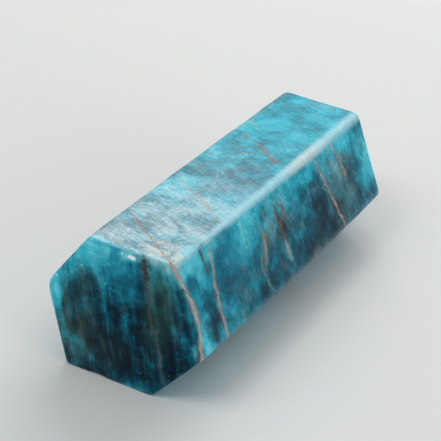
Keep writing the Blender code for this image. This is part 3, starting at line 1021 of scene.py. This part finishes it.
def apatite_look():
    """Polished blue apatite: fibres and clouds of blue, healed cracks, and a satin polish."""
    material = bpy.data.materials.new(STONE_SLOT)
    g = emptied(material)
    rock = rock_at(g)
    on_base, on_top = rock.on_base, rock.on_top

    lightness = cloudy_light(g, rock)
    net, arcs, splits, strokes = inner_cracks(g, rock)
    lightness = lightness + net * NET_LIGHT + arcs * ARC_LIGHT
    lightness = lightness + splits * (SPLIT_LIGHT - on_base * SPLIT_LESS_ON_BASE)
    # Strokes across the fibres, lighter where breaks ripple the base: partly real breaks, partly their
    # painted highlights.
    rippled = placed_share(g, rock.cloud_spot, *RIPPLED)
    lightness = lightness + strokes * (rippled + STROKE_LIGHT)
    sugar = patches(g, rock.here, SUGAR)
    lightness = lightness + sugar * (on_top * SUGAR_MORE_ON_TOP + SUGAR_LIGHT) * (1 - on_base)
    # The top is kept light: painted light from above.
    lightness = g.most(lightness * LIGHT_SCALE, on_top * LEAST_ON_TOP)
    colour = g.add("ShaderNodeValToRGB", {"stops": BLUES}, {"Fac": lightness})

    colour = stained(g, rock, colour, lightness)
    lines = g.noise(along_polish(g, rock.bent, rock.height, FINE_LINES), detail=4.0, roughness=0.65)
    # A painted sheen of the light on the top, strongest by the base.
    sheen = placed_share(g, rock.cloud_spot, *SHEEN_ON_TOP) * on_top
    colour = milky_and_sheened(g, rock, colour, lines, sheen, sugar)
    colour = arched(g, rock, colour)
    colour = rusted(g, rock, colour, sheen)
    colour = worn_and_sheened(g, rock, colour, sugar)
    colour, filled = healed(g, rock, colour)
    colour = with_painted_glints(g, rock, colour)

    shader = g.add("ShaderNodeBsdfPrincipled", None, POLISH)
    rough = g.ramp(lines, 0.35, 0.7, 0.20, 0.34) + filled * 0.2
    relief = lines * on_top * 0.35 + rock.threads * (on_base * 0.3 + 0.12) + rock.mottle
    relief = relief + strokes * 0.5 - filled * 0.5 - net * 0.2
    bump = g.add("ShaderNodeBump", None, {**RELIEF, "Height": relief})
    for name, wire in {"Base Color": colour, "Roughness": rough, "Normal": bump}.items():
        g.tree.links.new(wire.socket, shader.socket.node.inputs[name])
    g.add("ShaderNodeOutputMaterial", None, {"Surface": shader}, None)
    return material


# ---- The stone in its place ----

outline = measured_outline(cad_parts[STONE])
stone = wand_skin(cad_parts[STONE], outline, apatite_look())
for polygon in stone.data.polygons:
    polygon.use_smooth = True
stone.data.set_sharp_from_angle(angle=math.radians(SHARP_OVER))
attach(stone, "root")
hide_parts(STONE)

# ---- Floor, light and camera ----

FLOOR_SIDE = 2.4
FLOOR_WHITE = (0.72, 0.72, 0.71, 1)
SKY_WHITE, WARM_WHITE, COOL_WHITE = (0.92, 0.97, 1.0, 1), (1.0, 0.98, 0.95), (0.97, 0.99, 1.0)
STONE_MIDDLE = Vector((-0.0076, 0.00072, 0.01186))
SENSOR_WIDTH = 36.0  # in millimetres, as the lens is
NEAREST_SEEN = 10 * MM


def pale_floor():
    """A plain sheet of pale paper."""
    mesh = bpy.data.meshes.new("floor")
    half = FLOOR_SIDE / 2
    corners = [(-half, -half, 0), (half, -half, 0), (half, half, 0), (-half, half, 0)]
    mesh.from_pydata(corners, [], [(0, 1, 2, 3)])
    floor = in_scene("floor", mesh)
    material = bpy.data.materials.new("floor_paper")
    material.use_nodes = True
    paper = material.node_tree.nodes["Principled BSDF"].inputs
    paper["Base Color"].default_value = FLOOR_WHITE
    paper["Roughness"].default_value = 0.9
    paper["Specular IOR Level"].default_value = 0.1
    mesh.materials.append(material)


def direction(azimuth, elevation):
    """The unit vector to a place round the stone: azimuth from -Y towards +X, in degrees."""
    a, e = math.radians(azimuth), math.radians(elevation)
    return Vector((math.sin(a) * math.cos(e), -math.cos(a) * math.cos(e), math.sin(e)))


def soft_box(name, place, width, height, radiance, colour, tilt=0.0):
    """A lit rectangle that faces the stone, turned by the tilt about its own middle."""
    light = bpy.data.lights.new(name, "AREA")
    light.shape = "RECTANGLE"
    light.size, light.size_y = width, height
    light.energy = radiance * width * height * math.pi
    light.color = colour
    box = in_scene(name, light)
    facing = (place - STONE_MIDDLE).to_track_quat("Z", "Y")
    box.matrix_world = (
        Matrix.Translation(place) @ facing.to_matrix().to_4x4() @ Matrix.Rotation(tilt, 4, "Z")
    )


def room_light(horizon, overhead, colour):
    """Even light from all round, stronger from above."""
    world = bpy.data.worlds.new("room")
    g = emptied(world)
    _, _, up = g.parts(g.add("ShaderNodeTexCoord", None, None, "Generated"))
    strength = g.ramp(up, 0.0, 1.0, horizon, overhead, smooth=False)
    light = g.add("ShaderNodeBackground", None, {"Color": colour, "Strength": strength})
    g.add("ShaderNodeOutputWorld", None, {"Surface": light}, None)
    bpy.context.scene.world = world


def camera_at(azimuth, elevation, roll, distance, right_by, up_by, lens):
    """A camera aimed two small steps off the stone's middle, turned by the roll, in degrees."""
    camera = in_scene("camera", bpy.data.cameras.new("camera"))
    camera.data.lens = lens
    camera.data.sensor_width = SENSOR_WIDTH
    camera.data.clip_start = NEAREST_SEEN
    back = direction(azimuth, elevation)
    right = Vector((0, 0, 1)).cross(back).normalized()
    up = back.cross(right)
    turn = math.radians(roll)
    right, up = (
        right * math.cos(turn) + up * math.sin(turn),
        up * math.cos(turn) - right * math.sin(turn),
    )
    place = STONE_MIDDLE + back * distance + right * right_by + up * up_by
    turned = Matrix((right, up, back)).transposed().to_4x4()
    camera.matrix_world = Matrix.Translation(place) @ turned
    bpy.context.scene.camera = camera


bpy.context.scene.view_settings.view_transform = "Standard"
pale_floor()
room_light(horizon=0.10, overhead=0.55, colour=SKY_WHITE)
soft_box("box_beyond_point", Vector((0.55, 0.09, 0.45)), width=0.80, height=0.32,
         radiance=4.6, colour=WARM_WHITE, tilt=math.radians(11))
soft_box("box_by_side", direction(-12, 18) * 0.55, width=0.40, height=0.30,
         radiance=2.0, colour=COOL_WHITE)
soft_box("box_by_base", Vector((-0.36, 0.19, 0.45)), width=0.30, height=0.30,
         radiance=3.8, colour=COOL_WHITE)
camera_at(azimuth=-68.1945, elevation=26.84, roll=8.8388, distance=0.2815,
          right_by=-0.00113, up_by=0.00138, lens=130.6)
